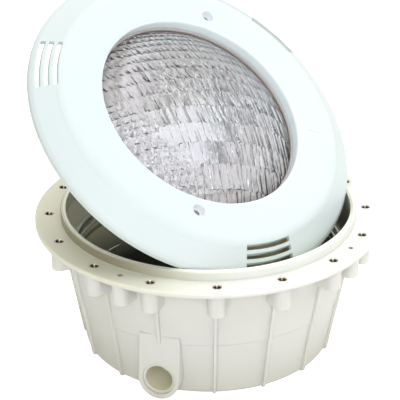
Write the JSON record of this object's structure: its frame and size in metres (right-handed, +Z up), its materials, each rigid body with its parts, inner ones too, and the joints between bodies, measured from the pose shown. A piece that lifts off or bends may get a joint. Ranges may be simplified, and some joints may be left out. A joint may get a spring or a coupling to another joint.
{
  "type": "underwater pool light",
  "caption": "Round wall niche with a ring of threaded inserts and a leaning pool light unit: slotted face ring, prismatic domed lens and a sealed rear housing with a cable gland.",
  "frame": {"origin": "centre of the niche's flat base, on its underside", "axes": "+Z up along the niche's axis, out of its mouth; -Y to the front insert, so the conduit port is 22.5 degrees round towards -X and the light unit leans to face +X and -Y"},
  "size_m": [0.27, 0.27, 0.2635],
  "materials": {
    "niche_abs": "satin moulded ABS, cream white",
    "ring_abs": "glossy moulded ABS, cool white",
    "brass": "turned brass, slightly dulled",
    "silicone": "moulded silicone, warm grey",
    "black_plastic": "fine textured black moulding",
    "stainless_steel": "plain stainless steel",
    "black_rubber": "plain black rubber",
    "gland_nylon": "black moulded nylon",
    "grey_rubber": "dark grey rubber",
    "lens_glass": "clear pressed glass with prisms",
    "mirror_glass": "pressed glass, aluminised inside",
    "tungsten": "drawn tungsten wire",
    "nickel_wire": "nickel-plated wire",
    "ceramic": "unglazed white ceramic",
    "brass_screw": "machined brass screw"
  },
  "bodies": {
    "niche": {"niche_shell": "niche_abs", "flange_inserts": "brass", "post_inserts": "brass"},
    "light_unit": {"face_ring": "ring_abs", "ring_inserts": "brass", "lens_gasket": "silicone", "rear_housing": "black_plastic", "housing_screws": "stainless_steel", "screw_washers": "stainless_steel", "gland_washer": "black_rubber", "gland_body": "gland_nylon", "gland_locknut": "gland_nylon", "gland_seal": "grey_rubber", "gland_nut": "gland_nylon"},
    "lamp": {"lamp_lens": "lens_glass", "lamp_reflector": "mirror_glass", "filament": "tungsten", "filament_posts": "nickel_wire", "lamp_base": "ceramic", "lamp_terminals": "brass", "terminal_screws": "brass_screw"}
  },
  "joints": [
    {"name": "light_lift", "type": "slide", "parent": "niche", "child": "light_unit", "axis": [0, 0, 1], "range_m": [0, 0.15]},
    {"name": "lamp_turn", "type": "hinge", "parent": "light_unit", "child": "lamp", "pos_m": [-0.01158, 0.01264, 0.17511], "axis": [0.4206, -0.459, 0.7826], "range_deg": [-90, 90]}
  ]
}
